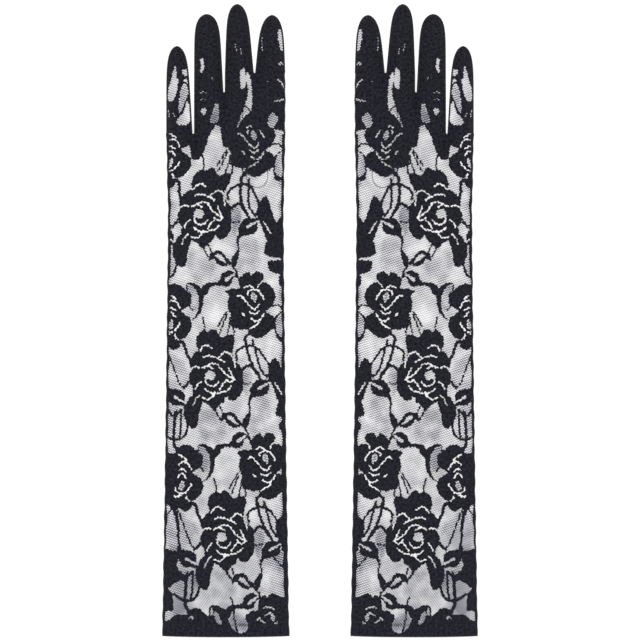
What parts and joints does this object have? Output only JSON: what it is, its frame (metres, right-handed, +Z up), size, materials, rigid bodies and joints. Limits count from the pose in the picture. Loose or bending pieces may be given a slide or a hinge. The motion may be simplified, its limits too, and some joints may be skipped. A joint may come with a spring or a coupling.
{
  "type": "opera gloves",
  "caption": "Long fingered lace opera gloves lying flat, hollow from a wide arm opening to the fingertips, folding at the elbow, wrist, finger roots and thumb.",
  "frame": {"origin": "centre of the pair's footprint, on the surface the gloves lie on", "axes": "+Y from the arm openings towards the fingertips, +Z up from the palms to the backs of the hands, +X from the left of the pair to its right"},
  "size_m": [0.2746, 0.55, 0.0153],
  "materials": {
    "lace": "black nylon lace of dense knitted roses on a fine open net",
    "seam": "black overlocked seam thread",
    "hem": "black lace turned to the inside, two layers"
  },
  "bodies": {
    "upper_arms": {"left_upper_arm_back": "lace", "left_upper_arm_palm": "lace", "left_upper_arm_inner_seam": "seam", "left_upper_arm_outer_seam": "seam", "left_upper_arm_hem": "hem", "right_upper_arm_back": "lace", "right_upper_arm_palm": "lace", "right_upper_arm_inner_seam": "seam", "right_upper_arm_outer_seam": "seam", "right_upper_arm_hem": "hem"},
    "left_forearm": {"left_forearm_back": "lace", "left_forearm_palm": "lace", "left_forearm_inner_seam": "seam", "left_forearm_outer_seam": "seam"},
    "left_hand": {"left_hand_back": "lace", "left_hand_palm": "lace", "left_hand_inner_seam": "seam", "left_hand_outer_seam": "seam", "left_thumb_hole_seam": "seam"},
    "left_little_finger": {"left_little_finger_back": "lace", "left_little_finger_palm": "lace", "left_little_finger_seam": "seam"},
    "left_ring_finger": {"left_ring_finger_back": "lace", "left_ring_finger_palm": "lace", "left_ring_finger_seam": "seam"},
    "left_middle_finger": {"left_middle_finger_back": "lace", "left_middle_finger_palm": "lace", "left_middle_finger_seam": "seam"},
    "left_index_finger": {"left_index_finger_back": "lace", "left_index_finger_palm": "lace", "left_index_finger_seam": "seam"},
    "left_thumb": {"left_thumb_back": "lace", "left_thumb_front": "lace", "left_thumb_seam": "seam"},
    "right_forearm": {"right_forearm_back": "lace", "right_forearm_palm": "lace", "right_forearm_inner_seam": "seam", "right_forearm_outer_seam": "seam"},
    "right_hand": {"right_hand_back": "lace", "right_hand_palm": "lace", "right_hand_inner_seam": "seam", "right_hand_outer_seam": "seam", "right_thumb_hole_seam": "seam"},
    "right_little_finger": {"right_little_finger_back": "lace", "right_little_finger_palm": "lace", "right_little_finger_seam": "seam"},
    "right_ring_finger": {"right_ring_finger_back": "lace", "right_ring_finger_palm": "lace", "right_ring_finger_seam": "seam"},
    "right_middle_finger": {"right_middle_finger_back": "lace", "right_middle_finger_palm": "lace", "right_middle_finger_seam": "seam"},
    "right_index_finger": {"right_index_finger_back": "lace", "right_index_finger_palm": "lace", "right_index_finger_seam": "seam"},
    "right_thumb": {"right_thumb_back": "lace", "right_thumb_front": "lace", "right_thumb_seam": "seam"}
  },
  "joints": [
    {"name": "left_elbow_fold", "type": "hinge", "parent": "upper_arms", "child": "left_forearm", "pos_m": [-0.082, -0.155, 0], "axis": [-1, 0, 0], "range_deg": [0, 110]},
    {"name": "left_wrist_fold", "type": "hinge", "parent": "left_forearm", "child": "left_hand", "pos_m": [-0.082, 0.095, 0], "axis": [-1, 0, 0], "range_deg": [0, 75]},
    {"name": "left_little_finger_fold", "type": "hinge", "parent": "left_hand", "child": "left_little_finger", "pos_m": [-0.122, 0.162, 0], "axis": [-1, 0, 0], "range_deg": [0, 90]},
    {"name": "left_ring_finger_fold", "type": "hinge", "parent": "left_hand", "child": "left_ring_finger", "pos_m": [-0.0968, 0.198, 0], "axis": [-1, 0, 0], "range_deg": [0, 90]},
    {"name": "left_middle_finger_fold", "type": "hinge", "parent": "left_hand", "child": "left_middle_finger", "pos_m": [-0.0702, 0.215, 0], "axis": [-1, 0, 0], "range_deg": [0, 90]},
    {"name": "left_index_finger_fold", "type": "hinge", "parent": "left_hand", "child": "left_index_finger", "pos_m": [-0.0436, 0.215, 0], "axis": [-1, 0, 0], "range_deg": [0, 90]},
    {"name": "left_thumb_fold", "type": "hinge", "parent": "left_hand", "child": "left_thumb", "pos_m": [-0.05271, 0.11624, 0.00305], "axis": [-0.9781, -0.2079, 0], "range_deg": [0, 60]},
    {"name": "right_elbow_fold", "type": "hinge", "parent": "upper_arms", "child": "right_forearm", "pos_m": [0.082, -0.155, 0], "axis": [-1, 0, 0], "range_deg": [0, 110]},
    {"name": "right_wrist_fold", "type": "hinge", "parent": "right_forearm", "child": "right_hand", "pos_m": [0.082, 0.095, 0], "axis": [-1, 0, 0], "range_deg": [0, 75]},
    {"name": "right_little_finger_fold", "type": "hinge", "parent": "right_hand", "child": "right_little_finger", "pos_m": [0.122, 0.162, 0], "axis": [-1, 0, 0], "range_deg": [0, 90]},
    {"name": "right_ring_finger_fold", "type": "hinge", "parent": "right_hand", "child": "right_ring_finger", "pos_m": [0.0968, 0.198, 0], "axis": [-1, 0, 0], "range_deg": [0, 90]},
    {"name": "right_middle_finger_fold", "type": "hinge", "parent": "right_hand", "child": "right_middle_finger", "pos_m": [0.0702, 0.215, 0], "axis": [-1, 0, 0], "range_deg": [0, 90]},
    {"name": "right_index_finger_fold", "type": "hinge", "parent": "right_hand", "child": "right_index_finger", "pos_m": [0.0436, 0.215, 0], "axis": [-1, 0, 0], "range_deg": [0, 90]},
    {"name": "right_thumb_fold", "type": "hinge", "parent": "right_hand", "child": "right_thumb", "pos_m": [0.05271, 0.11624, 0.00305], "axis": [-0.9781, 0.2079, 0], "range_deg": [0, 60]}
  ]
}
